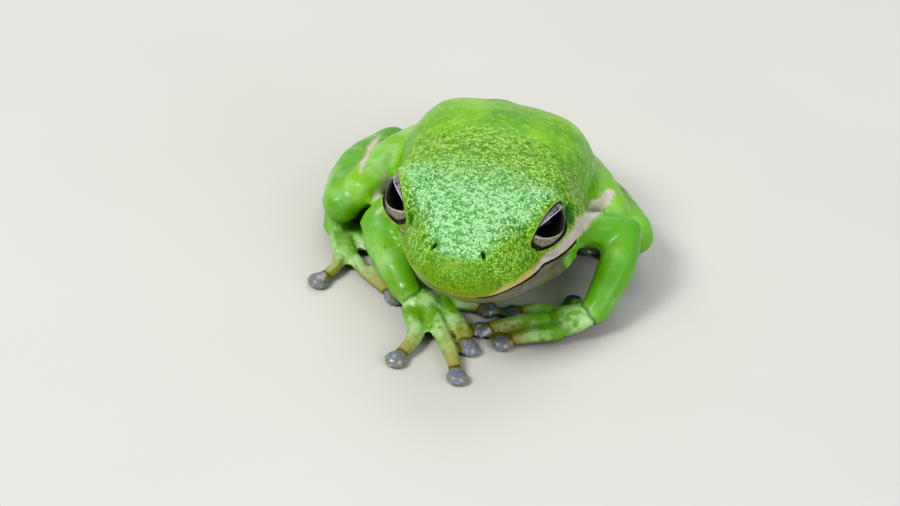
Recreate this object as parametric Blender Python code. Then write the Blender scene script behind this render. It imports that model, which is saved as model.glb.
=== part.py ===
"""A green tree frog, Hyla cinerea, crouching with its hands under its chin: a life-size still model.

Lengths are millimetres here, and MM turns the finished meshes into Blender's metres. +Z is up, the frog
faces -Y and its left side is +X. It rests on small flats at z = 0.

Every named part of the body is a closed solid of its own, drawn whole as a loft or a tapering limb. Then
each part, in the order of build_order, is carved by fuller copies of the parts before it, so that
neighbours meet on one surface with GAP between them.
"""

import math

import bmesh
import bpy
from mathutils import Matrix, Vector

MM = 0.001
GAP = 0.3
SIDES = {"right": -1, "left": 1}

# ---- Head. Its own frame has its origin midway between the eyeballs and its nose towards -Y.
HEAD_AT = Vector((0.0, -14.5, 11.5))
NOSE_UP = 6.6
NECK_Y = 8.0
# The jaws are pushed to the frog's left by this share of their depth below LEAN_TOP, up to LEAN_DEEP.
LEAN = 0.24
LEAN_TOP = -1.0
LEAN_DEEP = 3.8
EYE_AT = Vector((5.3, 0.1, 0.0))
EYE_RADIUS = 2.5
LID_RADIUS = 3.2
LID_SHIFT = Vector((-0.35, 0.1, 0.0))
# The opening between the lids is a cap of the ball, cut by the planes of the two lids' edges.
UPPER_LID_FACES = Vector((0.914, -0.077, -0.399))
UPPER_LID_AT = 1.0
LOWER_LID_FACES = Vector((-0.35, 0.12, 0.93))
LOWER_LID_AT = -1.9

# y, then (x, z) of crown, brow, cheek and lip, and the z of the palate
HEAD_ROWS = (
    (-9.3, (0.0, -2.5), (0.4, -2.55), (0.6, -2.85), (0.5, -3.2), -3.25),
    (-8.9, (0.0, -1.6), (1.15, -1.85), (1.75, -2.65), (1.6, -3.35), -3.4),
    (-8.1, (0.0, -0.8), (1.9, -1.15), (2.65, -2.4), (2.7, -3.45), -3.4),
    (-6.8, (0.0, -0.1), (2.6, -0.5), (3.6, -2.3), (3.8, -3.5), -3.4),
    (-5.0, (0.0, 0.7), (3.3, 0.25), (4.5, -2.2), (4.85, -3.6), -3.4),
    (-2.5, (0.0, 1.7), (4.2, 1.4), (5.35, -2.1), (5.7, -3.8), -3.5),
    (0.5, (0.0, 2.4), (5.0, 2.1), (6.5, -2.0), (6.7, -4.0), -3.7),
    (4.0, (0.0, 2.75), (5.9, 1.9), (7.6, -1.9), (7.6, -4.1), -3.9),
    (NECK_Y, (0.0, 2.9), (6.4, 1.3), (7.9, -2.2), (7.9, -4.4), -4.3),
)
# y, then (x, z) of rim, side and throat, and the z inside the mouth
JAW_ROWS = (
    (-8.5, (0.8, -3.4), (0.7, -3.8), (0.0, -4.0), -3.0),
    (-7.8, (2.1, -3.5), (1.8, -4.2), (0.0, -4.6), -3.0),
    (-6.6, (3.2, -3.6), (2.9, -4.65), (0.0, -5.4), -3.0),
    (-5.0, (4.2, -3.7), (4.0, -5.05), (0.0, -6.2), -3.0),
    (-2.0, (5.3, -3.9), (5.2, -5.5), (0.0, -7.2), -3.1),
    (1.5, (6.5, -4.2), (6.4, -6.0), (0.0, -8.1), -3.4),
    (5.0, (7.4, -4.3), (7.2, -6.3), (0.0, -8.9), -3.6),
    (NECK_Y, (7.7, -4.5), (7.5, -6.6), (0.0, -9.3), -3.9),
)

# ---- Trunk: y, midline x, half width, height of its widest line, back and belly, how wide the back is flat
TRUNK_ROWS = (
    (-8.0, 0.0, 7.9, 7.6, 13.4, 1.6, 0.44),
    (-5.0, 0.0, 8.3, 7.0, 13.4, 0.9, 0.44),
    (-1.5, -0.15, 8.9, 6.2, 13.1, -0.1, 0.46),
    (2.0, -0.2, 9.0, 5.4, 12.0, -0.4, 0.54),
    (5.0, -0.5, 8.4, 4.9, 10.5, -0.4, 0.56),
    (8.0, -1.0, 7.0, 4.6, 8.4, 0.0, 0.50),
    (11.0, -2.0, 5.2, 4.5, 6.5, 1.6, 0.45),
    (13.2, -2.3, 3.4, 4.2, 5.4, 2.6, 0.42),
    (14.6, -2.4, 1.8, 4.0, 4.7, 3.2, 0.42),
    (15.2, -2.4, 0.7, 4.0, 4.3, 3.7, 0.42),
)

# ---- Limbs: joint positions on each side, and thicknesses that both sides share
ARM = {
    "right": {"shoulder": (-6.0, -5.6, 7.0), "elbow": (-9.3, -8.6, 4.2), "wrist": (-5.0, -14.8, 2.0)},
    "left": {"shoulder": (6.4, -7.2, 6.4), "elbow": (12.3, -5.7, 6.2), "wrist": (11.1, -12.6, 2.2)},
}
LEG = {
    "right": {"hip": (-4.6, 8.6, 4.4), "knee": (-11.4, -5.2, 5.2), "shin": (-12.9, -6.0, 3.9),
              "heel": (-11.0, 6.9, 3.0), "ankle": (-14.5, 0.2, 1.1), "toes": (-13.1, -5.4, 1.0)},
    "left": {"hip": (1.9, 9.0, 4.5), "knee": (10.3, -1.9, 5.3), "shin": (12.7, -2.2, 3.8),
             "heel": (2.3, 11.2, 2.5), "ankle": (10.0, 5.8, 1.1), "toes": (9.9, 3.0, 1.0)},
}
THIGH_BOW = {"right": 1.2, "left": 0.9}
SHANK_BOW = {"right": 0.9, "left": 0.6}
UPPER_ARM_RADII = (1.7, 1.75, 1.7, 1.5)
FOREARM_RADII = (1.5, 1.7, 1.7, 1.5, 1.3)
THIGH_RADII = (2.1, 2.35, 2.25, 1.9)
SHANK_RADII = (1.9, 2.15, 2.15, 1.9, 1.5)
TARSUS_RADII = (1.25, 1.1, 1.05, 1.1)
FOOT_RADII = (1.1, 1.3, 1.45)
DISC_RADIUS = 1.05
DISC_HEIGHT = 1.0

# Each digit from its knuckle to the middle of its disc; the first digit is the innermost.
DIGITS = {
    "right_finger_1": ((-2.0, -13.8, 1.0), (-0.1, -13.2, 0.9), (1.9, -12.9, 0.5)),
    "right_finger_2": ((-1.8, -14.7, 1.1), (-0.1, -16.5, 1.0), (0.8, -17.9, 0.8), (1.4, -19.1, 0.5)),
    "right_finger_3": ((-2.8, -15.6, 1.3), (-1.1, -18.7, 1.1), (0.2, -20.9, 0.9), (1.3, -23.5, 0.5)),
    "right_finger_4": ((-4.4, -16.2, 1.3), (-3.4, -18.4, 1.1), (-3.3, -20.1, 0.9), (-4.2, -22.7, 0.5)),
    "left_finger_1": ((9.6, -11.6, 1.0), (9.3, -10.6, 0.9), (8.9, -9.5, 0.5)),
    "left_finger_2": ((8.0, -12.8, 1.1), (6.1, -12.5, 1.0), (4.1, -12.7, 0.5)),
    "left_finger_3": ((8.0, -13.9, 1.3), (5.8, -14.6, 1.2), (3.8, -15.4, 0.9), (1.9, -16.1, 0.5)),
    "left_finger_4": ((8.5, -15.3, 1.2), (6.3, -16.2, 1.0), (4.0, -17.4, 0.5)),
    "right_toe_1": ((-10.8, -4.7, 0.9), (-9.6, -4.5, 0.8), (-8.5, -4.3, 0.5)),
    "right_toe_2": ((-11.0, -5.4, 0.9), (-9.4, -6.2, 0.8), (-7.9, -6.7, 0.5)),
    "right_toe_3": ((-11.5, -6.2, 1.0), (-9.6, -7.7, 0.9), (-7.6, -8.9, 0.5)),
    "right_toe_4": ((-12.3, -7.0, 1.0), (-10.9, -9.6, 0.9), (-8.7, -11.8, 0.8), (-6.2, -13.7, 0.4)),
    "right_toe_5": ((-13.0, -7.0, 1.0), (-12.0, -9.6, 0.9), (-12.1, -11.6, 0.8), (-13.1, -13.4, 0.5)),
    "left_toe_1": ((8.9, 3.9, 0.9), (7.7, 3.8, 0.8), (6.9, 3.8, 0.5)),
    "left_toe_2": ((9.0, 2.9, 0.9), (7.9, 1.9, 0.8), (7.1, 0.9, 0.5)),
    "left_toe_3": ((9.5, 2.3, 1.0), (9.0, 0.7, 0.9), (8.4, -0.6, 0.5)),
    "left_toe_4": ((10.2, 2.2, 1.0), (10.4, 0.6, 0.9), (10.3, -0.8, 0.5)),
    "left_toe_5": ((10.9, 2.8, 1.0), (11.6, 1.8, 0.9), (12.3, 1.2, 0.5)),
}
# A limb's round end: one smaller ring, and the point beyond it, in radii.
CAP_AT = 0.7
CAP_WIDE = 0.68
CAP_TIP = 0.22
FINGER_RADIUS = 0.82
TOE_RADIUS = 0.68
SIDES_OF_LIMB = 8
SIDES_OF_DIGIT = 6


# ---------------------------------------------------------------- curves and meshes

def spline(points, per):
    """Catmull-Rom points through every given point, per of them to a stretch; each point is a tuple."""
    pts = [Vector(p) for p in points]
    pts = [2 * pts[0] - pts[1]] + pts + [2 * pts[-1] - pts[-2]]
    out = []
    for a, b, c, d in zip(pts, pts[1:], pts[2:], pts[3:]):
        for i in range(per):
            out.append(spline_at(a, b, c, d, i / per))
    out.append(pts[-2])
    return out


def closed_spline(points, per):
    """The same through a closed ring of points."""
    n = len(points)
    pts = [Vector(p) for p in points]
    return [spline_at(pts[i - 1], pts[i], pts[(i + 1) % n], pts[(i + 2) % n], j / per)
            for i in range(n) for j in range(per)]


def spline_at(a, b, c, d, t):
    curve = 2 * b + (c - a) * t + (2 * a - 5 * b + 4 * c - d) * t ** 2 + (3 * b - a - 3 * c + d) * t ** 3
    return 0.5 * curve


def loft(rings, tips=(0.0, 0.0)):
    """A closed mesh through rings of equal length, with a fan over each end that stands out by its tip."""
    bm = bmesh.new()
    rows = [[bm.verts.new(p) for p in ring] for ring in rings]
    n = len(rows[0])
    for one, two in zip(rows, rows[1:]):
        for i in range(n):
            bm.faces.new((one[i], one[(i + 1) % n], two[(i + 1) % n], two[i]))
    middles = [sum((v.co for v in row), Vector()) / n for row in rows]
    for row, middle, inner, tip in ((rows[0], middles[0], middles[1], tips[0]),
                                    (rows[-1], middles[-1], middles[-2], tips[1])):
        end = bm.verts.new(middle + (middle - inner).normalized() * tip)
        for i in range(n):
            bm.faces.new((row[i], row[(i + 1) % n], end))
    bmesh.ops.recalc_face_normals(bm, faces=bm.faces)
    return bm


def limb(points, radii, sides, per=3, squash=1.0):
    """A tapering limb with round ends along the points; squash flattens it towards the floor."""
    path = spline(points, per)
    last = len(path) - 1
    sizes = spline([(r, 0, 0) for r in radii], 8)
    rings = []
    for i, at in enumerate(path):
        ahead = (path[min(i + 1, last)] - path[max(i - 1, 0)]).normalized()
        across = ahead.cross(Vector((0, 0, 1))).normalized()
        over = across.cross(ahead)
        r = sizes[round(i / last * (len(sizes) - 1))].x
        if i == 0:
            rings.append(turn(at - ahead * r * CAP_AT, across, over, r * CAP_WIDE, sides, squash))
        rings.append(turn(at, across, over, r, sides, squash))
        if i == last:
            rings.append(turn(at + ahead * r * CAP_AT, across, over, r * CAP_WIDE, sides, squash))
    return loft(rings, tips=(radii[0] * CAP_TIP, radii[-1] * CAP_TIP))


def turn(at, across, over, r, sides, squash):
    steps = [2 * math.pi * k / sides for k in range(sides)]
    return [at + across * r * math.cos(a) + over * r * squash * math.sin(a) for a in steps]


def ball(at, radius, scale=(1, 1, 1), u=16, v=10):
    bm = bmesh.new()
    bmesh.ops.create_uvsphere(bm, u_segments=u, v_segments=v, radius=radius)
    bmesh.ops.transform(bm, matrix=Matrix.Translation(at) @ Matrix.Diagonal((*scale, 1)), verts=bm.verts)
    return bm


def box(low, high):
    bm = bmesh.new()
    bmesh.ops.create_cube(bm, size=1.0)
    low = Vector(low)
    high = Vector(high)
    size = high - low
    bmesh.ops.transform(bm, matrix=Matrix.Translation((low + high) / 2) @ Matrix.Diagonal((*size, 1)),
                        verts=bm.verts)
    return bm


def put(bm, name):
    """The mesh as an object; everything is built in millimetres until the end."""
    mesh = bpy.data.meshes.new(name)
    bm.to_mesh(mesh)
    bm.free()
    obj = bpy.data.objects.new(name, mesh)
    bpy.context.collection.objects.link(obj)
    return obj


def boolean(obj, tool, operation, keep_tool=False, solver="EXACT"):
    """Cuts or joins tool with obj, and applies it."""
    mod = obj.modifiers.new(operation, "BOOLEAN")
    mod.operation = operation
    mod.solver = solver
    mod.object = tool
    deps = bpy.context.evaluated_depsgraph_get()
    mesh = bpy.data.meshes.new_from_object(obj.evaluated_get(deps))
    obj.modifiers.clear()
    obj.data = mesh
    if not keep_tool:
        bpy.data.objects.remove(tool)


def fuller(obj, by):
    """A copy of obj that stands by farther out all over."""
    bm = bmesh.new()
    bm.from_mesh(obj.data)
    bm.normal_update()
    shifts = [v.normal * by * v.calc_shell_factor() for v in bm.verts]
    for v, shift in zip(bm.verts, shifts):
        v.co += shift.normalized() * min(shift.length, 1.6 * by)
    return put(bm, "fuller")


def biggest_body(obj):
    """Drops the crumbs that carving leaves, and keeps the largest body that faces join edge to edge."""
    bm = bmesh.new()
    bm.from_mesh(obj.data)
    left = set(bm.faces)
    bodies = []
    while left:
        front = [left.pop()]
        body = set(front)
        while front:
            face = front.pop()
            near = {other for e in face.edges if len(e.link_faces) == 2 for other in e.link_faces} & left
            left -= near
            body |= near
            front += near
        bodies.append(body)
    most = max(bodies, key=len)
    bmesh.ops.delete(bm, geom=[f for f in bm.faces if f not in most], context="FACES")
    bm.to_mesh(obj.data)
    bm.free()


# ---------------------------------------------------------------- the parts, each drawn whole

def head_frame():
    return Matrix.Translation(HEAD_AT) @ Matrix.Rotation(math.radians(-NOSE_UP), 4, "X")


def mirrored(half, middle_top, middle_low):
    """A ring from its right half, top to bottom, and its two points on the midline."""
    other = [(-x, z) for x, z in reversed(half)]
    return [middle_top, *half, middle_low, *other]


def leaning(y, ring):
    """A ring of the head or jaw with its lower points pushed to the side, less so near the neck."""
    share = LEAN * min((NECK_Y - y) / 5.0, 1.0)
    return [(x + share * min(max(LEAN_TOP - z, 0.0), LEAN_DEEP), z) for x, z in ring]


def stations(rows, ring_of, per_row, per_ring):
    """Smooth rings through the rows: first along y between rows, then round each ring."""
    keys = [[(x, row[0], z) for x, z in ring_of(row)] for row in rows]
    lines = [spline(line, per_row) for line in zip(*keys)]
    return [closed_spline(ring, per_ring) for ring in zip(*lines)]


def plain_head(name):
    rings = stations(HEAD_ROWS, lambda r: leaning(r[0], mirrored(r[2:5], r[1], (0, r[5]))), 2, 3)
    return put(loft(rings), name)


def head():
    obj = plain_head("head")
    for side in SIDES.values():
        flip = Vector((side, 1, 1))
        boolean(obj, put(ball((EYE_AT + LID_SHIFT) * flip, LID_RADIUS), "lid"), "UNION")
        boolean(obj, put(ball(EYE_AT * flip, EYE_RADIUS + GAP, u=12, v=8), "socket"), "DIFFERENCE")
        boolean(obj, put(eye_opening(flip), "opening"), "DIFFERENCE")
    obj.data.transform(head_frame())
    return obj


def eye_opening(flip):
    """What the lids leave open: a ball cut off at the upper lid's edge and at the lower lid's."""
    centre = EYE_AT * flip
    bm = ball(centre, LID_RADIUS + 1.5)
    for faces, at in ((UPPER_LID_FACES, UPPER_LID_AT), (LOWER_LID_FACES, LOWER_LID_AT)):
        faces = (faces * flip).normalized()
        cut = bmesh.ops.bisect_plane(bm, geom=bm.verts[:] + bm.edges[:] + bm.faces[:], dist=1e-5,
                                     plane_co=centre + faces * at, plane_no=faces, clear_inner=True)
        bmesh.ops.edgeloop_fill(bm, edges=[e for e in cut["geom_cut"] if isinstance(e, bmesh.types.BMEdge)])
    bmesh.ops.recalc_face_normals(bm, faces=bm.faces)
    return bm


def lower_jaw():
    rings = stations(JAW_ROWS, lambda r: leaning(r[0], mirrored(r[1:3], (0, r[4]), r[3])), 2, 2)
    obj = put(loft(rings), "lower_jaw")
    obj.data.transform(head_frame())
    return obj


def eye(side_name):
    centre = EYE_AT * Vector((SIDES[side_name], 1, 1))
    obj = put(ball(centre, EYE_RADIUS), "eye_" + side_name)
    obj.data.transform(head_frame())
    return obj


def trunk():
    def ring_of(row):
        _, middle, half, side, top, low, flat = row
        half_ring = ((half * flat, top - (top - side) * 0.08), (half * 0.82, side + (top - side) * 0.63),
                     (half, side), (half * 0.80, side - (side - low) * 0.62),
                     (half * 0.42, low + (side - low) * 0.06))
        ring = mirrored(half_ring, (0, top), (0, low))
        return [(middle + x, z) for x, z in ring]
    return put(loft(stations(TRUNK_ROWS, ring_of, 2, 2)), "trunk")


def between(a, b, t):
    return Vector(a).lerp(Vector(b), t)


def arm(side):
    at = ARM[side]
    upper = limb((at["shoulder"], between(at["shoulder"], at["elbow"], 0.5), at["elbow"]),
                 UPPER_ARM_RADII, SIDES_OF_LIMB)
    bow = between(at["elbow"], at["wrist"], 0.5) + Vector((SIDES[side] * 0.35, 0.2, 0.15))
    lower = limb((at["elbow"], bow, at["wrist"]), FOREARM_RADII, SIDES_OF_LIMB)
    return [put(upper, side + "_upper_arm"), put(lower, side + "_forearm")]


def hand(side):
    """A flat palm from the wrist to the middle of its knuckles."""
    knuckles = [Vector(DIGITS[f"{side}_finger_{n}"][0]) for n in (1, 2, 3, 4)]
    middle = sum(knuckles, Vector()) / 4
    wrist = Vector(ARM[side]["wrist"])
    outward = (knuckles[3] - knuckles[0]) * 0.12
    return put(limb((wrist, between(wrist, middle, 0.55) + outward, middle + outward), (1.2, 1.6, 1.75),
                    SIDES_OF_LIMB, squash=0.72), side + "_hand")


def leg(side):
    at = LEG[side]
    out = Vector((SIDES[side], 0, 0))
    thigh = limb((at["hip"], between(at["hip"], at["knee"], 0.5) + out * THIGH_BOW[side], at["knee"]),
                 THIGH_RADII, SIDES_OF_LIMB)
    shank = limb((at["shin"], between(at["shin"], at["heel"], 0.5) + out * SHANK_BOW[side], at["heel"]),
                 SHANK_RADII, SIDES_OF_LIMB)
    under_heel = Vector(at["heel"]) + Vector((SIDES[side] * 1.2, 0.9, -1.4))
    tarsus = limb((under_heel, between(under_heel, at["ankle"], 0.5) + out * 0.7, at["ankle"]),
                  TARSUS_RADII, SIDES_OF_LIMB)
    foot = limb((at["ankle"], between(at["ankle"], at["toes"], 0.5), at["toes"]), FOOT_RADII,
                SIDES_OF_LIMB, squash=0.7)
    return [put(thigh, side + "_thigh"), put(shank, side + "_shank"), put(tarsus, side + "_tarsus"),
            put(foot, side + "_foot")]


def digit(name):
    """A finger or a toe with the round disc on its tip."""
    points = DIGITS[name]
    r = FINGER_RADIUS if "finger" in name else TOE_RADIUS
    neck = between(points[-2], points[-1], 0.75)
    obj = put(limb((*points[:-1], neck), (r * 1.05, r, r * 0.86, r * 0.7), SIDES_OF_DIGIT, per=2), name)
    middle = Vector((points[-1][0], points[-1][1], DISC_HEIGHT * 0.45))
    disc = ball(middle, 1.0, (DISC_RADIUS, DISC_RADIUS, DISC_HEIGHT * 0.62), u=9, v=4)
    boolean(obj, put(disc, "disc"), "UNION")
    return obj


def build_order():
    """Every part; an earlier one carves each later one that it would touch."""
    parts = [eye("right"), eye("left"), head(), lower_jaw(), trunk()]
    for side in SIDES:
        parts += [*leg(side), *arm(side), hand(side)]
        parts += [digit(name) for name in DIGITS if name.startswith(side)]
    return parts


# ---------------------------------------------------------------- assembly

def box_of(obj):
    corners = [v.co for v in obj.data.vertices]
    return ([min(c[i] for c in corners) for i in range(3)], [max(c[i] for c in corners) for i in range(3)])


def touch(one, two):
    (low_a, high_a), (low_b, high_b) = box_of(one), box_of(two)
    return all(low_a[i] < high_b[i] and low_b[i] < high_a[i] for i in range(3))


def carver_of(part):
    """What carves the later parts. The head carves without its lids and sockets."""
    if part.name != "head":
        return fuller(part, GAP)
    plain = plain_head("plain_head")
    plain.data.transform(head_frame())
    made = fuller(plain, GAP)
    bpy.data.objects.remove(plain)
    return made


def carve(parts):
    """Earlier parts carve later ones; each carves with its whole shape, as it was drawn.

    A fuller copy can cross itself in a crease, where the EXACT solver fails, so MANIFOLD does the carving.
    """
    carvers = [carver_of(part) for part in parts]
    for i, part in enumerate(parts):
        if part.name == "trunk":
            ahead_of_neck = put(box((-20, -40, -20), (20, NECK_Y + GAP, 20)), "neck_plane")
            ahead_of_neck.data.transform(head_frame())
            boolean(part, ahead_of_neck, "DIFFERENCE")
        for other, carver in list(zip(parts, carvers))[:i]:
            inside_head = other.name.startswith("eye") and part.name == "head"
            if touch(part, carver) and not inside_head:
                boolean(part, carver, "DIFFERENCE", keep_tool=True, solver="MANIFOLD")
        boolean(part, put(box((-60, -60, -20), (60, 60, 0)), "floor"), "DIFFERENCE")
        biggest_body(part)
    for carver in carvers:
        bpy.data.objects.remove(carver)


def finish(parts):
    """Centres the footprint on the origin, turns millimetres to metres and gives each part its material."""
    boxes = [box_of(p) for p in parts]
    low = [min(b[0][i] for b in boxes) for i in range(3)]
    high = [max(b[1][i] for b in boxes) for i in range(3)]
    shift = Matrix.Translation((-(low[0] + high[0]) / 2, -(low[1] + high[1]) / 2, -low[2]))
    for part in parts:
        part.data.transform(Matrix.Scale(MM, 4) @ shift)
        part.data.shade_smooth()
        part.data.set_sharp_from_angle(angle=math.radians(40))
        part.data.materials.clear()
        part.data.materials.append(material_of(part.name))


def material_of(name):
    """Near-black eyes, a pale throat, tan digits, and leaf green for the rest."""
    if name.startswith("eye"):
        return material("eye", (0.02, 0.018, 0.015), 0.08)
    if name == "lower_jaw":
        return material("pale skin", (0.55, 0.58, 0.42), 0.4)
    if "finger" in name or "toe" in name:
        return material("digit skin", (0.33, 0.36, 0.14), 0.35)
    return material("green skin", (0.2, 0.52, 0.03), 0.4)


def material(name, colour, roughness):
    found = bpy.data.materials.get(name)
    if found:
        return found
    made = bpy.data.materials.new(name)
    made.use_nodes = True
    made.diffuse_color = (*colour, 1)
    surface = made.node_tree.nodes["Principled BSDF"]
    surface.inputs["Base Color"].default_value = (*colour, 1)
    surface.inputs["Roughness"].default_value = roughness
    surface.inputs["Metallic"].default_value = 0.0
    return made


def main():
    for obj in list(bpy.data.objects):
        bpy.data.objects.remove(obj)
    parts = build_order()
    carve(parts)
    finish(parts)


if __name__ == "__main__":
    main()
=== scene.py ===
"""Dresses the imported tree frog: one moist skin over its solids, two glossy eyes and plain studio light.

Lengths are millimetres here, because Blender's mesh tools work better at that scale, and MM turns each
finished mesh into Blender's metres. +Z is up, the frog faces -Y and its left side is +X.
"""

import logging
import math
from dataclasses import dataclass
from enum import Enum

import bmesh
import bpy
import numpy as np
from mathutils import Matrix, Vector, noise
from mathutils.bvhtree import BVHTree


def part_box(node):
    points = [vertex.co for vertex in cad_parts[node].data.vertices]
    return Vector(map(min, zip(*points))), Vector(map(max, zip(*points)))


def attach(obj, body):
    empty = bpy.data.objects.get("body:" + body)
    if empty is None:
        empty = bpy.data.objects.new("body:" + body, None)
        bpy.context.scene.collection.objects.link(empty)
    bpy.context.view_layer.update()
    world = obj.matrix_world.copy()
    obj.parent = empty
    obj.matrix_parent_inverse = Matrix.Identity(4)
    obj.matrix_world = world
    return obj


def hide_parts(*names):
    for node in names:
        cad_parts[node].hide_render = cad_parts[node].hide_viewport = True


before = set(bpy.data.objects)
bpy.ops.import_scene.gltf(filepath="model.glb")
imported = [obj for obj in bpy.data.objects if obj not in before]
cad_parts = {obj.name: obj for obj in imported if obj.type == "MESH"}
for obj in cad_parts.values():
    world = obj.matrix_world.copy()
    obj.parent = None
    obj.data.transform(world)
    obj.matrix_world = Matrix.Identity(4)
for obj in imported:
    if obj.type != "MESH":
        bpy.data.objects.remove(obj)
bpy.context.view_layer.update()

MM = 0.001
LOG = logging.getLogger("tree_frog")
Array = np.ndarray


# ---------------------------------------------------------------- plain arithmetic on arrays


def ease(low: float, high: float, x: Array) -> Array:
    """A smooth rise from 0 at low to 1 at high; it falls where high is below low.

    Args:
        low: Where the rise starts.
        high: Where it ends.
        x: The values.

    Returns:
        One number from 0 to 1 for each value.
    """
    t = np.clip((x - low) / (high - low), 0.0, 1.0)
    return t * t * (3.0 - 2.0 * t)


def bell(x: Array, width: float) -> Array:
    """A round hump of height 1 at x = 0, which is nearly gone at twice its width."""
    return np.exp(-((x / width) ** 2))


def lower_of(a: Array, b: Array, soft: float) -> Array:
    """The smaller of two values, with the corner between them rounded over the length soft."""
    h = np.clip(0.5 + 0.5 * (b - a) / soft, 0.0, 1.0)
    return b + (a - b) * h - soft * h * (1.0 - h)


def length_of(v: Array) -> Array:
    """The length of each row."""
    return np.sqrt((v * v).sum(axis=1))


def unit(v: Array) -> Array:
    """Each row at length 1."""
    return v / np.maximum(length_of(v), 1e-9)[:, None]


# ---------------------------------------------------------------- the frame's places, in millimetres


class Side(Enum):
    """The frog's own left and right, as the sign of x."""

    RIGHT = -1
    LEFT = 1

    @property
    def word(self) -> str:
        """The word that node names use."""
        return self.name.lower()

    @property
    def flip(self) -> Array:
        """What turns a place on the left side into this side's."""
        return np.array([self.value, 1.0, 1.0])


def box_mm(node: str) -> tuple[Array, Array]:
    """The lowest and highest corners of a solid."""
    low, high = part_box(node)
    return np.array(low) / MM, np.array(high) / MM


def middle_of(node: str) -> Array:
    """The middle of a solid's box."""
    low, high = box_mm(node)
    return (low + high) / 2.0


def welded(node: str) -> tuple[Array, Array]:
    """A solid's points and triangles, with the points that lie in one place made one.

    Args:
        node: The solid's name.

    Returns:
        Its points, one row each, and its triangles as rows of three point numbers.
    """
    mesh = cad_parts[node].data
    mesh.calc_loop_triangles()
    points = read(mesh.vertices, "co", 3) / MM
    corners = read(mesh.loop_triangles, "vertices", 3, np.int32)
    places, number = np.unique(np.round(points, 4), axis=0, return_inverse=True)
    faces = number.reshape(-1)[corners]
    real = (faces[:, 0] != faces[:, 1]) & (faces[:, 1] != faces[:, 2]) & (faces[:, 0] != faces[:, 2])
    return places, faces[real]


def read(items: bpy.types.bpy_prop_collection, name: str, width: int = 1, kind: type = np.float32) -> Array:
    """Reads one property of every item of a mesh.

    Args:
        items: The mesh's points, edges or the like.
        name: The property.
        width: How many numbers it has.
        kind: The kind of number it holds.

    Returns:
        A row of width numbers for each item, or one number each where width is 1.
    """
    found = np.empty(len(items) * width, kind)
    items.foreach_get(name, found)
    found = found.astype(float) if kind is np.float32 else found
    return found.reshape(-1, width) if width > 1 else found


FLESH = sorted(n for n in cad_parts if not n.startswith("eye"))


@dataclass(frozen=True)
class HeadFrame:
    """The head's own directions. The origin is midway between the eyeballs and the nose points to -y."""

    nose_up: float = math.radians(6.6)

    @property
    def origin(self) -> Array:
        """The point midway between the eyes."""
        return (middle_of("eye_left") + middle_of("eye_right")) / 2.0

    @property
    def turn(self) -> Array:
        """The head's x, y and z directions as the columns of a matrix."""
        return np.array(Matrix.Rotation(-self.nose_up, 3, "X"))

    @property
    def eye_radius(self) -> float:
        """The eyeball's radius."""
        low, high = box_mm("eye_left")
        return float((high - low).mean()) / 2.0

    @property
    def eye_at(self) -> Array:
        """The left eyeball's centre."""
        return self.into(middle_of("eye_left")[None])[0]

    def into(self, points: Array) -> Array:
        """Points of the whole frog as points of the head."""
        return (points - self.origin) @ self.turn

    def out_of(self, points: Array) -> Array:
        """Points of the head as points of the whole frog."""
        return points @ self.turn.T + self.origin

    def turned(self, vectors: Array) -> Array:
        """Directions of the whole frog as directions of the head."""
        return vectors @ self.turn


# ---------------------------------------------------------------- a mesh worked on as arrays


class Surface:
    """A closed skin in millimetres. Its points are one array, so arithmetic works on all of them at once."""

    def __init__(self, mesh: bpy.types.Mesh) -> None:
        """Reads the points and edges of a mesh.

        Args:
            mesh: The mesh, which the surface keeps and changes.
        """
        self.mesh = mesh
        self.points = read(mesh.vertices, "co", 3)
        self.edges = read(mesh.edges, "vertices", 2, np.int32)
        count = len(self.points)
        self.reach = np.bincount(self.edges.ravel(), minlength=count).astype(float)

    def normals(self) -> Array:
        """The outward direction at each point, after the points have been put into the mesh."""
        self.store()
        return read(self.mesh.vertex_normals, "vector", 3)

    def store(self) -> None:
        """Puts the points into the mesh."""
        self.mesh.vertices.foreach_set("co", self.points.astype(np.float32).ravel())
        self.mesh.update()

    def soften(self, values: Array, rounds: int, pull: Array | float = 0.5) -> Array:
        """Draws each point's value towards its neighbours' average.

        Args:
            values: One row for each point.
            rounds: How often.
            pull: How far each time, from 0 to 1, for all points or for each.

        Returns:
            The softened values, in the same shape.
        """
        a, b = self.edges.T
        count = len(self.points)
        columns = values.reshape(count, -1).T.astype(float)
        softened = []
        for column in columns:
            for _ in range(rounds):
                total = np.bincount(a, column[b], count) + np.bincount(b, column[a], count)
                column = column + pull * (total / self.reach - column)
            softened.append(column)
        return np.stack(softened, axis=1).reshape(values.shape)

    def keep(self, name: str, values: Array) -> None:
        """Stores one number for each point under a name, for the finish to read."""
        found = self.mesh.attributes.get(name) or self.mesh.attributes.new(name, "FLOAT", "POINT")
        found.data.foreach_set("value", values.astype(np.float32))

    def kept(self, name: str) -> Array:
        """The numbers stored under a name."""
        return read(self.mesh.attributes[name].data, "value")


def new_object(name: str, mesh: bpy.types.Mesh) -> bpy.types.Object:
    """Puts a mesh into the scene.

    Args:
        name: What the mesh and its object are called.
        mesh: The mesh.

    Returns:
        The object.
    """
    mesh.name = name
    made = bpy.data.objects.new(name, mesh)
    bpy.context.scene.collection.objects.link(made)
    return made


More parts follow.
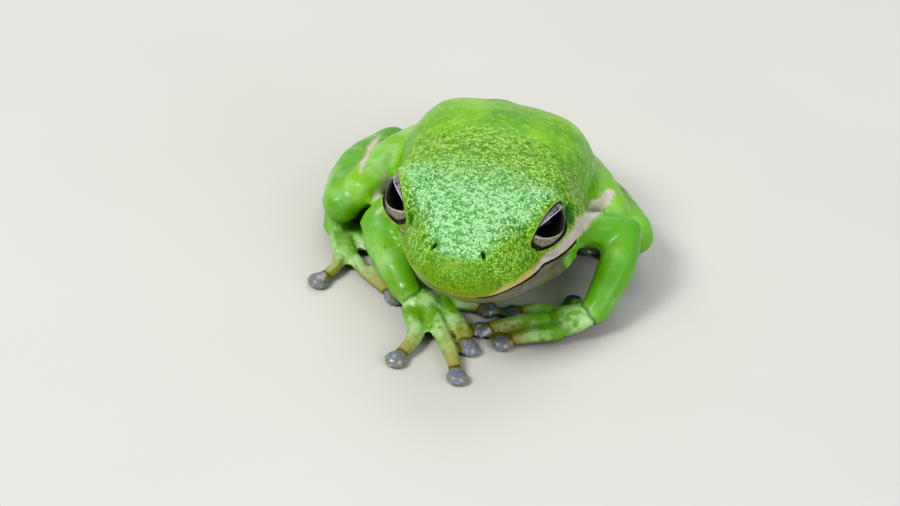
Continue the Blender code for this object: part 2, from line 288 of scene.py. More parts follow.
def with_modifier(mesh: bpy.types.Mesh, kind: str, **settings: object) -> bpy.types.Mesh:
    """The mesh that one modifier makes of another.

    Args:
        mesh: The mesh, which is removed.
        kind: The modifier's type.
        **settings: Its settings.

    Returns:
        The new mesh.
    """
    holder = new_object("holder", mesh)
    modifier = holder.modifiers.new(kind.lower(), kind)
    for name, value in settings.items():
        setattr(modifier, name, value)
    graph = bpy.context.evaluated_depsgraph_get()
    made = bpy.data.meshes.new_from_object(holder.evaluated_get(graph), depsgraph=graph)
    bpy.data.objects.remove(holder)
    bpy.data.meshes.remove(mesh)
    return made


def ball_points(at: Array, radius: float, across: int, up: int) -> tuple[Array, Array]:
    """Works out a round ball.

    Args:
        at: Its centre.
        radius: Its radius.
        across: How many faces go round it.
        up: How many rows of faces lie between its poles.

    Returns:
        Its points, one row each, and its triangles as rows of three point numbers.
    """
    ball = bmesh.new()
    bmesh.ops.create_uvsphere(ball, u_segments=across, v_segments=up, radius=radius)
    bmesh.ops.triangulate(ball, faces=ball.faces)
    points = np.array([v.co[:] for v in ball.verts]) + at
    faces = np.array([[v.index for v in f.verts] for f in ball.faces])
    ball.free()
    return points, faces


# ---------------------------------------------------------------- the fused flesh


class Part(Enum):
    """Kinds of flesh that are shaped and tinted alike, and the words in their nodes' names."""

    HEAD = ("head",)
    JAW = ("lower_jaw",)
    TRUNK = ("trunk",)
    ARM = ("upper_arm", "forearm")
    HAND = ("hand",)
    THIGH = ("thigh",)
    SHANK = ("shank",)
    FOOT = ("tarsus", "foot")
    DIGIT = ("finger", "toe")

    @property
    def tag(self) -> str:
        """The name that the skin keeps this part's share under."""
        return "part_" + self.name.lower()

    @classmethod
    def of(cls, node: str) -> "Part":
        """The kind of flesh that a node is."""
        return next(p for p in cls if any(word in node for word in p.value))


@dataclass
class Flesh:
    """Fuses the solids of flesh into one surface with no seam and no facet, on the same outline."""

    head: HeadFrame
    swell: float = 0.2
    voxel: float = 0.24
    lid_thickness: float = 0.4
    soft_rounds: int = 50
    softness: tuple[tuple[Part, float], ...] = (
        (Part.HEAD, 0.30),
        (Part.JAW, 0.40),
        (Part.TRUNK, 0.50),
        (Part.ARM, 0.30),
        (Part.HAND, 0.12),
        (Part.THIGH, 0.40),
        (Part.SHANK, 0.40),
        (Part.FOOT, 0.14),
        (Part.DIGIT, 0.05),
    )
    fit_rounds: int = 25
    fit_times: int = 2
    label_rounds: int = 4
    lid_faces: tuple[int, int] = (32, 20)
    eye_reach: float = 1.0
    neck_rounds: int = 60
    neck_pull: float = 0.6
    neck_from: tuple[float, float] = (2.6, 5.0)
    neck_until: tuple[float, float] = (13.0, 10.0)
    neck_above: tuple[float, float] = (-2.6, -1.2)

    def build(self) -> Surface:
        """Makes the fused surface.

        Returns:
            The surface, which keeps each part's share at every point.
        """
        solids = {n: welded(n) for n in FLESH}
        surface = Surface(self.fused(solids))
        tree, owner = self.tree_of(solids)
        self.label(surface, tree, owner)
        pull = sum(surface.kept(part.tag) * share for part, share in self.softness)
        plain = surface.soften(surface.points, self.soft_rounds, pull)
        lost = surface.soften(surface.points - plain, self.soft_rounds, pull)
        surface.points = plain + lost
        for _ in range(self.fit_times):
            self.fit(surface, tree)
        self.ease_neck(surface)
        surface.points[:, 2] = np.maximum(surface.points[:, 2], 0.0)
        return surface

    def ease_neck(self, surface: Surface) -> None:
        """Evens out the skin where the head meets the back.

        Args:
            surface: The fused skin.
        """
        at = self.head.into(surface.points)
        y, z = at[:, 1], at[:, 2]
        body = surface.kept(Part.HEAD.tag) + surface.kept(Part.TRUNK.tag)
        along = ease(*self.neck_from, y) * ease(*self.neck_until, y)
        pull = self.neck_pull * along * ease(*self.neck_above, z) * body
        surface.points = surface.soften(surface.points, self.neck_rounds, pull)

    def fused(self, solids: dict[str, tuple[Array, Array]]) -> bpy.types.Mesh:
        """Makes one skin round all the solids, each a little swollen so that the gaps between them close.

        Args:
            solids: Each node's points and triangles.

        Returns:
            A mesh of even small faces, with a ball of flesh round each eyeball for the lids.
        """
        points, faces, count = [], [], 0
        for places, corners in solids.values():
            mesh = mesh_of(places, corners)
            out = read(mesh.vertex_normals, "vector", 3)
            bpy.data.meshes.remove(mesh)
            points.append(places + out * self.swell)
            faces.append(corners + count)
            count += len(places)
        for side in Side:
            radius = self.head.eye_radius + self.lid_thickness
            centre = self.head.out_of((self.head.eye_at * side.flip)[None])[0]
            places, corners = ball_points(centre, radius, *self.lid_faces)
            points.append(places)
            faces.append(corners + count)
            count += len(places)
        joined = mesh_of(np.concatenate(points), np.concatenate(faces))
        return with_modifier(joined, "REMESH", mode="VOXEL", voxel_size=self.voxel, use_smooth_shade=True)

    @staticmethod
    def tree_of(solids: dict[str, tuple[Array, Array]]) -> tuple[BVHTree, list[str]]:
        """Makes a search tree over all the solids.

        Args:
            solids: Each node's points and triangles.

        Returns:
            The tree, and the node that each of its triangles is on.
        """
        points, faces, owner, count = [], [], [], 0
        for node, (places, corners) in solids.items():
            points.append(places)
            faces.append(corners + count)
            owner += [node] * len(corners)
            count += len(places)
        places = np.concatenate(points).tolist()
        return BVHTree.FromPolygons(places, np.concatenate(faces).tolist()), owner

    def label(self, surface: Surface, tree: BVHTree, owner: list[str]) -> None:
        """Keeps each part's share at every point, blended a little across the joins.

        Args:
            surface: The fused skin.
            tree: The solids' triangles.
            owner: The node that each triangle is on.
        """
        kinds = [Part.of(n) for n in owner]
        nearest = [kinds[tree.find_nearest(p)[2]] for p in surface.points.tolist()]
        for part in Part:
            share = np.array([1.0 if kind is part else 0.0 for kind in nearest])
            surface.keep(part.tag, surface.soften(share, self.label_rounds))

    def fit(self, surface: Surface, tree: BVHTree) -> None:
        """Moves the surface in or out, in broad soft waves, until it lies on the solids again.

        Args:
            surface: The fused skin.
            tree: The solids' triangles.
        """
        beyond = np.empty(len(surface.points))
        for i, p in enumerate(surface.points.tolist()):
            place, out, _, far = tree.find_nearest(p)
            beyond[i] = math.copysign(far, (Vector(p) - place).dot(out))
        at = self.head.into(surface.points)
        for side in Side:
            r = length_of(at - self.head.eye_at * side.flip)
            near = r < self.head.eye_radius + self.eye_reach
            beyond[near] = (r - self.head.eye_radius - self.lid_thickness)[near]
        step = surface.soften(beyond, self.fit_rounds)
        surface.points = surface.points - surface.normals() * step[:, None]


def mesh_of(points: Array, faces: Array) -> bpy.types.Mesh:
    """Makes a mesh.

    Args:
        points: Its points, one row each.
        faces: Its faces, as rows of point numbers.

    Returns:
        The mesh.
    """
    mesh = bpy.data.meshes.new("mesh")
    mesh.from_pydata(points.tolist(), [], faces.tolist())
    return mesh


# ---------------------------------------------------------------- finer faces, and the shapes cut into them


@dataclass
class FinerSkin:
    """Splits the fused skin's faces, twice where small shapes come, and smooths what was split."""

    head: HeadFrame
    low: float = -4.7
    back: float = 7.0
    head_share: float = 0.4
    digit_share: float = 0.5
    rounds: int = 3

    def build(self, surface: Surface) -> Surface:
        """Makes the finer surface.

        Args:
            surface: The fused skin.

        Returns:
            A surface with faces about a quarter as wide on the head and digits, and half as wide elsewhere.
        """
        surface = self.split(surface, np.ones(len(surface.points), bool))
        at = self.head.into(surface.points)
        on_head = surface.kept(Part.HEAD.tag) + surface.kept(Part.JAW.tag) > self.head_share
        fine = on_head & (at[:, 2] > self.low) & (at[:, 1] < self.back)
        return self.split(surface, fine | (surface.kept(Part.DIGIT.tag) > self.digit_share))

    def split(self, surface: Surface, fine: Array) -> Surface:
        """Splits each edge that joins two chosen points, and rounds what the split left flat.

        Args:
            surface: The skin.
            fine: Which of its points are chosen.

        Returns:
            The finer skin.
        """
        surface.store()
        shape = bmesh.new()
        shape.from_mesh(surface.mesh)
        chosen = [e for e in shape.edges if fine[e.verts[0].index] and fine[e.verts[1].index]]
        bmesh.ops.subdivide_edges(shape, edges=chosen, cuts=1, use_grid_fill=True)
        shape.to_mesh(surface.mesh)
        shape.free()
        rounded = Surface(surface.mesh)
        plain = rounded.soften(rounded.points, self.rounds)
        rounded.points = plain + rounded.soften(rounded.points - plain, self.rounds)
        return rounded


class HeadSkin:
    """The head's part of a skin, with both sides laid over the left one."""

    BACK = 13.0
    LEAST_SHARE = 0.3

    def __init__(self, head: HeadFrame, surface: Surface) -> None:
        """Finds the skin that is on the head.

        Args:
            head: The head's directions.
            surface: The skin.
        """
        self.head = head
        self.surface = surface
        share = surface.kept(Part.HEAD.tag) + surface.kept(Part.JAW.tag) + surface.kept(Part.TRUNK.tag)
        near = (head.into(surface.points)[:, 1] < self.BACK) & (share > self.LEAST_SHARE)
        self.rows = np.flatnonzero(near)
        self.share = np.clip(share[near], 0.0, 1.0)

    def at(self, side: Side) -> Array:
        """The points in the head's frame, with the given side turned to the left."""
        return self.head.into(self.surface.points[self.rows]) * side.flip

    def out(self, side: Side) -> Array:
        """The outward directions in the same frame."""
        return self.head.turned(self.surface.normals()[self.rows]) * side.flip

    def move(self, step: Array, side: Side) -> None:
        """Moves the points by steps given in that frame."""
        self.surface.points[self.rows] += (step * side.flip) @ self.head.turn.T

    def lift(self, height: Array) -> None:
        """Moves the points outwards by heights, or inwards where they are negative."""
        self.surface.points[self.rows] += self.surface.normals()[self.rows] * height[:, None]

    def snapped(self, place: tuple[float, float, float], side: Side = Side.LEFT) -> Array:
        """The skin's point nearest to a place of the head's frame."""
        at = self.at(side)
        return at[length_of(at - np.array(place)).argmin()]


@dataclass
class Lids:
    """The skin's opening round each eye: two lids with rounded rims that dip in behind the cornea."""

    head: HeadFrame
    upper: tuple[float, float, float] = (0.928, -0.28, -0.245)
    upper_at: float = 0.93
    lower: tuple[float, float, float] = (-0.33, -0.384, 0.863)
    lower_at: float = -1.15
    front: tuple[float, float, float] = (0.0, 0.7, 0.714)
    front_at: float = -2.42
    corners: tuple[float, float] = (0.3, 0.2)
    rim: float = 0.2
    roll: float = 0.12
    roll_at: float = -0.24
    roll_width: float = 0.2
    sunk: float = -0.35
    edge: float = 0.18
    blend: tuple[float, float] = (-1.5, -0.3)
    reach: tuple[float, float] = (2.4, 1.3)
    shade_reach: float = 1.0
    none: float = -3.0

    def opening(self, way: Array) -> Array:
        """How far, in millimetres round the eyeball, each direction is inside the opening.

        Args:
            way: Directions from the left eyeball's centre, at length 1.

        Returns:
            One number each, above 0 inside the opening.
        """
        radius = self.head.eye_radius
        upper, lower, front = unit(np.array([self.upper, self.lower, self.front]))
        above = radius * (way @ upper) - self.upper_at
        below = radius * (way @ lower) - self.lower_at
        behind = radius * (way @ front) - self.front_at
        back, front_corner = self.corners
        return lower_of(above, lower_of(below, behind, front_corner), back)

    def sculpt(self, skin: HeadSkin) -> None:
        """Shapes both eyes' lids and keeps the distance inside each opening as lid.

        Args:
            skin: The head's part of the skin.
        """
        surface = skin.surface
        lid = np.full(len(surface.points), self.none)
        radius = self.head.eye_radius
        ends, starts = self.reach
        for side in Side:
            from_eye = skin.at(side) - self.head.eye_at
            far = length_of(from_eye)
            way = unit(from_eye)
            inside = self.opening(way)
            shell = radius + self.rim + self.roll * bell(inside - self.roll_at, self.roll_width)
            shell = shell + (radius + self.sunk - shell) * ease(0.0, self.edge, inside)
            near = ease(radius + ends, radius + starts, far)
            weight = ease(*self.blend, inside) * near
            skin.move(way * ((shell - far) * weight)[:, None], side)
            close = (near > 0.0) & (far < radius + self.shade_reach)
            lid[skin.rows[close]] = np.maximum(lid[skin.rows[close]], inside[close])
        surface.keep("lid", lid)


@dataclass
class Mouth:
    """The long mouth line, with the upper lip standing a little over the lower jaw."""

    middle: float = 0.3
    dip: tuple[float, ...] = (-4.05, -4.02, -3.98, -3.9, -3.66, -3.38, -3.25, -3.33, -3.25)
    dip_at: tuple[float, ...] = (0.0, 1.0, 1.9, 2.7, 3.6, 4.4, 5.2, 6.4, 8.2)
    smooth: tuple[float, ...] = (-0.6, -0.3, 0.0, 0.3, 0.6)
    corner: float = 4.2
    corner_soft: float = 0.6
    droop: float = 0.35
    droop_until: float = 3.0
    depth: float = 0.16
    half_width: float = 0.09
    overhang: float = 0.04
    lip_at: float = 0.28
    chin: float = 0.05
    chin_at: float = -0.4
    swell_width: float = 0.3
    shade_at: float = -0.03
    shade_width: float = 0.1
    shade_from: tuple[float, float] = (0.8, 2.6)

    def above(self, at: Array) -> Array:
        """Measures how far points are above the mouth line.

        Args:
            at: Points of the head.

        Returns:
            One height for each.
        """
        droop = self.droop * np.clip(at[:, 1] - self.corner, 0.0, self.droop_until)
        wide = np.abs(at[:, 0] - self.middle)
        line = np.mean([np.interp(wide + shift, self.dip_at, self.dip) for shift in self.smooth], axis=0)
        return at[:, 2] - line + droop

    def sculpt(self, skin: HeadSkin) -> None:
        """Cuts the mouth and keeps its shade as mouth.

        Args:
            skin: The head's part of the skin.
        """
        at = skin.at(Side.LEFT)
        above = self.above(at)
        here = ease(self.corner + self.corner_soft, self.corner - self.corner_soft, at[:, 1]) * skin.share
        groove = bell(above, self.half_width)
        lip = self.overhang * bell(above - self.lip_at, self.swell_width)
        jaw = self.chin * bell(above - self.chin_at, self.swell_width)
        skin.lift((lip + jaw - self.depth * groove) * here)
        shade = np.zeros(len(skin.surface.points))
        beside = ease(*self.shade_from, np.abs(at[:, 0] - self.middle))
        shade[skin.rows] = bell(above - self.shade_at, self.shade_width) * here * beside
        skin.surface.keep("mouth", shade)


@dataclass
class Nostrils:
    """Two slanting slits near the tip of the snout, each with a low rim."""

    place: tuple[float, float, float] = (2.1, -7.1, -0.5)
    slant: tuple[float, float, float] = (-0.3, 0.62, 0.7)
    half_length: float = 0.42
    half_width: float = 0.18
    depth: float = 0.36
    rim: float = 0.1
    rim_at: float = 2.0
    rim_width: float = 0.8
    shade_width: float = 1.15

    def sculpt(self, skin: HeadSkin) -> None:
        """Cuts both nostrils and keeps their shade as nostril.

        Args:
            skin: The head's part of the skin.
        """
        surface = skin.surface
        shade = np.zeros(len(surface.points))
        total = np.zeros(len(skin.rows))
        way = unit(np.array([self.slant]))[0]
        for side in Side:
            from_slit = skin.at(side) - skin.snapped(self.place, side)
            along = from_slit @ way
            across = length_of(from_slit - along[:, None] * way)
            out = np.hypot(along / self.half_length, across / self.half_width)
            total += self.rim * bell(out - self.rim_at, self.rim_width) - self.depth * bell(out, 1.0)
            shade[skin.rows] += bell(out, self.shade_width)
        skin.lift(total)
        surface.keep("nostril", shade)


@dataclass
class Ears:
    """The round eardrum behind each eye, its ring, and the skin fold that runs over it to the shoulder."""

    place: tuple[float, float, float] = (7.75, 4.5, -1.1)
    radius: float = 1.15
    ring: float = 0.09
    ring_width: float = 0.17
    dish: float = 0.07
    flat: float = 0.75
    shade: tuple[float, float] = (0.2, -0.6)
    fold: tuple[tuple[float, float, float], ...] = (
        (6.6, 2.6, 1.1),
        (7.6, 4.0, 0.6),
        (8.2, 5.6, 0.1),
        (8.6, 6.9, -1.3),
        (8.9, 7.8, -3.0),
    )
    fold_height: float = 0.22
    fold_width: float = 0.42

    def sculpt(self, skin: HeadSkin) -> None:
        """Shapes both ears and keeps the drum as drum.

        Args:
            skin: The head's part of the skin.
        """
        surface = skin.surface
        drum = np.zeros(len(surface.points))
        total = np.zeros(len(skin.rows))
        outer, inner = self.shade
        for side in Side:
            at = skin.at(side)
            far = length_of(at - skin.snapped(self.place, side))
            total += self.ring * bell(far - self.radius, self.ring_width)
            total -= self.dish * ease(self.radius, self.flat * self.radius, far)
            path = np.array([skin.snapped(p, side) for p in self.fold])
            total += self.fold_height * bell(from_path(at, path), self.fold_width)
            drum[skin.rows] += ease(self.radius + outer, self.radius + inner, far)
        skin.lift(total * skin.share)
        surface.keep("drum", drum)


def from_path(points: Array, path: Array) -> Array:
    """Measures how far points are from a path of straight stretches.

    Args:
        points: The points, one row each.
        path: The path's corners, one row each.

    Returns:
        One distance for each point.
    """
    nearest = np.full(len(points), np.inf)
    for start, end in zip(path[:-1], path[1:]):
        way = end - start
        along = np.clip((points - start) @ way / (way @ way), 0.0, 1.0)
        nearest = np.minimum(nearest, length_of(points - start - along[:, None] * way))
    return nearest


@dataclass
class Creases:
    """The folds of skin across the wrists and at the roots of the digits, where two kinds of flesh meet."""

    wrist: float = 0.16
    wrist_sharpness: int = 6
    knuckle: float = 0.07
    knuckle_sharpness: int = 4
    knuckle_shade: float = 0.25

    def sculpt(self, surface: Surface) -> None:
        """Presses the folds in and keeps their shade as crease.

        Args:
            surface: The skin.
        """
        hand = surface.kept(Part.HAND.tag)
        wrist = self.meeting(hand, surface.kept(Part.ARM.tag)) ** self.wrist_sharpness
        paw = hand + surface.kept(Part.FOOT.tag)
        knuckle = self.meeting(paw, surface.kept(Part.DIGIT.tag)) ** self.knuckle_sharpness
        surface.points -= surface.normals() * (self.wrist * wrist + self.knuckle * knuckle)[:, None]
        surface.keep("crease", wrist + self.knuckle_shade * knuckle)

    @staticmethod
    def meeting(a: Array, b: Array) -> Array:
        """How evenly two kinds of flesh share each place: 1 where both have half, 0 where one has all."""
        return np.clip(4.0 * a * b, 0.0, 1.0)


@dataclass
class Grain:
    """The skin's fine wet granules: close and raised on the head, faint on the back, none on the limbs."""

    head: HeadFrame
    cell: float = 0.22
    on_head: float = 0.07
    on_back: float = 0.022
    plump: float = 0.4
    least: float = 0.002
    upward: tuple[float, float] = (-0.1, 0.45)
    until: tuple[float, float] = (14.0, 7.0)
    cheek: tuple[float, float] = (-3.4, -2.6)
    cheek_share: float = 0.9
    by_lid: tuple[float, float] = (-0.03, -0.22)
    by_nostril: tuple[float, float] = (0.5, 0.1)
    crown_at: tuple[float, ...] = (-9.0, -6.6, -4.0, -2.4, 0.0, 3.0, 9.0)
    crown_half: tuple[float, ...] = (0.6, 2.3, 3.6, 5.0, 6.6, 7.4, 7.4)
    crown_soft: float = 0.8
    crown_from: tuple[float, float] = (-8.5, -7.5)
    crown_until: tuple[float, float] = (5.5, -2.5)
    tip: tuple[float, float] = (-7.2, -8.3)
    lip: tuple[float, float] = (-1.8, -2.6)
    lip_until: tuple[float, float] = (2.0, -1.0)
    lip_share: float = 0.7

    def sculpt(self, surface: Surface) -> None:
        """Raises the granules and keeps how grained each place is as grain.

        It also keeps the upward-facing top of the head, over which the finish paints a bluish sky sheen, as
        crown, the yellower tip and lips as lip, and each place's distance from the grooves between the
        granules as pebble.

        Args:
            surface: The skin.
        """
        at = self.head.into(surface.points)
        y, z = at[:, 1], at[:, 2]
        up = ease(*self.upward, self.head.turned(surface.normals())[:, 2])
        head = surface.kept(Part.HEAD.tag)
        trunk = surface.kept(Part.TRUNK.tag)
        fading = ease(*self.until, y)
        top = (head + trunk * fading) * up * fading
        grain = np.maximum(top, self.cheek_share * head * ease(*self.cheek, z))
        grain *= ease(*self.by_lid, surface.kept("lid")) * ease(*self.by_nostril, surface.kept("nostril"))
        height = self.on_head * grain + self.on_back * trunk * up
        raised = self.pebbles(surface.points, height > self.least)
        surface.points += surface.normals() * (height * ease(0.0, self.plump, raised))[:, None]
        half = np.interp(y, self.crown_at, self.crown_half)
        # crown: the upward-facing top of the head, which the finish tints with a painted bluish sky sheen
        crown = head * up * ease(half + self.crown_soft, half - self.crown_soft, np.abs(at[:, 0]))
        lip = ease(*self.tip, y) + self.lip_share * ease(*self.lip, z) * ease(*self.lip_until, y)
        surface.keep("grain", grain)
        surface.keep("crown", crown * ease(*self.crown_from, y) * ease(*self.crown_until, y))
        surface.keep("pebble", raised)
        surface.keep("lip", lip)

    def pebbles(self, points: Array, chosen: Array) -> Array:
        """Works out the granules' pattern of random cells.

        Args:
            points: The skin's points.
            chosen: Which of them are grained.

        Returns:
            Each chosen point's distance from its cell's edge, where a cell is about 1 wide, and 0 elsewhere.
        """
        raised = np.zeros(len(points))
        rows = np.flatnonzero(chosen)
        for i, p in zip(rows.tolist(), (points[rows] / self.cell).tolist()):
            near, second = noise.voronoi(p)[0][:2]
            raised[i] = second - near
        return raised


# ---------------------------------------------------------------- markings


@dataclass
class Markings:
    """Where the skin's colours lie. Each is kept as a soft number, and the finish gives it a crisp edge."""

    head: HeadFrame
    mouth: Mouth
    stripe_at: tuple[float, ...] = (-7.8, -7.1, -5.1, -3.2, -1.5, 1.6, 3.6, 6.6, 8.2)
    stripe_top: tuple[float, ...] = (-3.0, -2.78, -2.52, -2.5, -2.42, -2.3, -2.25, -2.3, -2.6)
    stripe_end_at: tuple[float, ...] = (4.2, 6.2, 7.0, 8.0, 8.8)
    stripe_end_low: tuple[float, ...] = (-9.0, -4.3, -3.95, -3.7, -2.6)
    snout_from: float = -7.1
    snout_at: tuple[float, ...] = (0.0, 2.7, 3.8)
    snout_top: tuple[float, ...] = (-3.8, -3.55, -2.8)
    thinner_right: float = 0.3
    right_from: tuple[float, float] = (0.0, -3.0)
    thinner_front: float = 0.28
    front_from: tuple[float, float] = (0.5, -3.5)
    tip_from: tuple[float, float] = (-5.6, -7.8)
    tip_share: float = 0.7
    over_mouth: float = 0.04
    corner_soft: float = 0.12
    stripe_until: float = 9.5
    golden: tuple[float, float] = (-1.0, -5.5)
    left_flank: tuple[tuple[float, float, float], ...] = (
        (8.6, 6.6, 7.6),
        (9.0, 7.7, 7.9),
        (9.5, 8.8, 7.7),
        (8.9, 11.6, 6.2),
        (9.6, 12.0, 6.6),
        (10.0, 13.4, 7.0),
    )
    right_flank: tuple[tuple[float, float, float], ...] = (
        (-9.5, 10.1, 6.1),
        (-9.7, 8.2, 5.3),
        (-9.0, 14.0, 5.6),
    )
    body: tuple[tuple[float, float, float], ...] = (
        (9.0, 10.0, 6.2),
        (8.9, 14.0, 5.9),
        (7.9, 18.0, 5.5),
        (6.6, 21.5, 5.2),
    )
    right_shank: tuple[tuple[float, float, float], ...] = (
        (-11.9, 18.7, 4.9),
        (-12.1, 16.4, 5.2),
        (-11.9, 11.7, 6.7),
        (-11.7, 9.3, 6.9),
    )
    flank_at: tuple[float, ...] = (7.0, 9.0, 12.0, 14.0)
    flank_half: tuple[float, ...] = (0.55, 0.6, 0.75, 0.4)
    body_at: tuple[float, ...] = (10.0, 12.0, 17.0, 21.5)
    body_half: tuple[float, ...] = (0.0, 0.5, 0.4, 0.0)
    shank_at: tuple[float, ...] = (8.5, 12.0, 16.0, 19.5)
    shank_half: tuple[float, ...] = (0.15, 0.42, 0.42, 0.1)
    belly_at: tuple[float, ...] = (6.0, 14.0, 23.0, 29.0)
    belly_top: tuple[float, ...] = (4.9, 4.4, 3.6, 2.6)
    jaw_sharpness: float = 5.0
    green_from_right: float = -3.5
    green_from_left: float = 1.0
    green_within: float = 3.0
    green_rise: float = 0.7
    limb_down: float = 0.35
    limb_sharpness: float = 1.2
    chin_aside: tuple[float, float] = (3.0, 1.4)
    chin_above: tuple[float, float] = (-5.2, -4.4)
    chin_below_mouth: tuple[float, float] = (0.3, -0.1)
    floor_touch: float = 0.02
    digit_room: float = 0.3
    digit_share: float = 0.3
    no_disc: float = 3.0
    most: float = 0.4
    none: float = -1.0

    def paint(self, surface: Surface) -> None:
        """Keeps every marking on the surface.

        Args:
            surface: The skin.
        """
        self.stripe(surface)
        self.flanks(surface)
        self.underside(surface)
        self.digits(surface)

    def stripe(self, surface: Surface) -> None:
        """Keeps the cream stripe along the upper lip to the shoulder, as millimetres inside its edge.

        Args:
            surface: The skin.
        """
        at = self.head.into(surface.points)
        y, z = at[:, 1], at[:, 2]
        wide = np.abs(at[:, 0] - self.mouth.middle)
        top = np.interp(y, self.stripe_at, self.stripe_top)
        top = np.where(y < self.snout_from, np.interp(wide, self.snout_at, self.snout_top), top)
        top = top - self.thinner_right * ease(*self.right_from, at[:, 0])
        behind_tip = 1.0 - self.tip_share * ease(*self.tip_from, y)
        top = top - self.thinner_front * ease(*self.front_from, y) * behind_tip
        low = np.interp(y, self.stripe_end_at, self.stripe_end_low)
        above_low = np.minimum(self.mouth.above(at) - self.over_mouth, z - low)
        on_lip = lower_of(top - z, above_low, self.corner_soft)
        body = surface.kept(Part.HEAD.tag) + surface.kept(Part.JAW.tag) + surface.kept(Part.TRUNK.tag)
        on_body = (body > self.most) & (y < self.stripe_until)
        surface.keep("stripe", np.where(on_body, on_lip, self.none))
        surface.keep("front", ease(*self.golden, y))

    def flanks(self, surface: Surface) -> None:
        """Keeps the cream patches and stripe along the flanks, and the line along the right shank.

        Each is kept as millimetres inside its edge.

        Args:
            surface: The skin.
        """
        beside = self.beside(surface)
        y = beside[:, 1]
        wide = np.interp(y, self.flank_at, self.flank_half)
        sides = [wide - from_path(beside, np.array(path)) for path in (self.left_flank, self.right_flank)]
        thin = np.interp(y, self.body_at, self.body_half)
        trunk = [from_path(beside, np.array(self.body) * side.flip) for side in Side]
        on_trunk = surface.kept(Part.TRUNK.tag) > self.most
        sides.append(np.where(on_trunk, thin - np.minimum(*trunk), self.none))
        surface.keep("flank", np.maximum(np.max(sides, axis=0), self.none))
        thin = np.interp(y, self.shank_at, self.shank_half)
        surface.keep("shank", np.maximum(thin - from_path(beside, np.array(self.right_shank)), self.none))

    def underside(self, surface: Surface) -> None:
        """Keeps the pale throat, belly and undersides of the limbs, as millimetres below the green.

        Args:
            surface: The skin.
        """
        at = self.head.into(surface.points)
        beside = self.beside(surface)
        share = {part: surface.kept(part.tag) for part in Part}
        above = self.mouth.above(at)
        trunk = np.interp(beside[:, 1], self.belly_at, self.belly_top) - beside[:, 2]
        green_from = np.where(at[:, 0] < 0.0, self.green_from_right, self.green_from_left)
        green = np.clip(at[:, 1] - green_from, 0.0, self.green_within) * self.green_rise
        jaw = np.minimum(-above * self.jaw_sharpness, 1.0) - green
        limb = (-self.limb_down - surface.normals()[:, 2]) * self.limb_sharpness
        pale = share[Part.TRUNK] * trunk + (share[Part.JAW] + share[Part.HEAD]) * jaw
        for part in (Part.ARM, Part.HAND, Part.THIGH, Part.SHANK, Part.FOOT, Part.DIGIT):
            pale = pale + share[part] * limb
        surface.keep("pale", pale)
        chin = (share[Part.JAW] + share[Part.HEAD]) * ease(*self.chin_aside, at[:, 0])
        chin = chin * ease(*self.chin_above, at[:, 2]) * ease(*self.chin_below_mouth, above)
        surface.keep("chin", chin)

    def beside(self, surface: Surface) -> Array:
        """The skin's points, measured from the floor below the point midway between the eyes."""
        return surface.points - [*self.head.origin[:2], 0.0]

    def digits(self, surface: Surface) -> None:
        """Keeps how far along its digit each place is, and its distance from its disc's middle.

        Args:
            surface: The skin.
        """
        along = np.zeros(len(surface.points))
        disc = np.full(len(surface.points), self.no_disc)
        for node in FLESH:
            if Part.of(node) is not Part.DIGIT:
                continue
            places, _ = welded(node)
            pad = places[places[:, 2] < self.floor_touch].mean(axis=0)
            length = float(length_of(places - pad).max())
            far = length_of(surface.points - pad)
            low, high = box_mm(node)
            low, high = low - self.digit_room, high + self.digit_room
            inside = ((surface.points > low) & (surface.points < high)).all(axis=1)
            here = inside & (surface.kept(Part.DIGIT.tag) > self.digit_share)
            along[here] = np.maximum(along[here], (1.0 - far / length)[here])
            disc = np.minimum(disc, far)
        surface.keep("along", along)
        surface.keep("disc", disc)


# ---------------------------------------------------------------- finishes


Colour = tuple[float, float, float]


def dye(red: int, green: int, blue: int) -> Colour:
    """A colour from the 0 to 255 numbers of a paint chart, as the amounts of light that a shader takes."""
    parts = (c / 255.0 for c in (red, green, blue))
    return tuple(((c + 0.055) / 1.055) ** 2.4 if c > 0.04 else c / 12.92 for c in parts)


class Value:
    """One output of a shader's node. Arithmetic on it adds the nodes that work the answer out."""

    def __init__(self, desk: "Desk", socket: bpy.types.NodeSocket) -> None:
        """Wraps an output.

        Args:
            desk: The material's nodes.
            socket: The output.
        """
        self.desk = desk
        self.socket = socket

    def __add__(self, other: "Value | float") -> "Value":
        """The sum."""
        return self.desk.maths("ADD", self, other)

    def __radd__(self, other: float) -> "Value":
        """The sum, with the number first."""
        return self.desk.maths("ADD", other, self)

    def __sub__(self, other: "Value | float") -> "Value":
        """The difference."""
        return self.desk.maths("SUBTRACT", self, other)

    def __rsub__(self, other: float) -> "Value":
        """The difference, with the number first."""
        return self.desk.maths("SUBTRACT", other, self)

    def __mul__(self, other: "Value | float") -> "Value":
        """The product."""
        return self.desk.maths("MULTIPLY", self, other)

    def __rmul__(self, other: float) -> "Value":
        """The product, with the number first."""
        return self.desk.maths("MULTIPLY", other, self)

    def ease(self, low: float, high: float) -> "Value":
        """A smooth rise from 0 at low to 1 at high; it falls where high is below low.

        Args:
            low: Where the rise starts.
            high: Where it ends.

        Returns:
            A value from 0 to 1.
        """
        rising = high > low
        ends = {1: min(low, high), 2: max(low, high), 3: 0.0 if rising else 1.0, 4: 1.0 if rising else 0.0}
        settings = {"interpolation_type": "SMOOTHSTEP"}
        node = self.desk.node("ShaderNodeMapRange", settings, {0: self, **ends})
        return Value(self.desk, node.outputs[0])

    def hump(self, middle: float, width: float) -> "Value":
        """A smooth rise to 1 at middle and back to 0, width to either side."""
        return self.ease(middle - width, middle) * self.ease(middle + width, middle)


Feed = Value | float | Colour


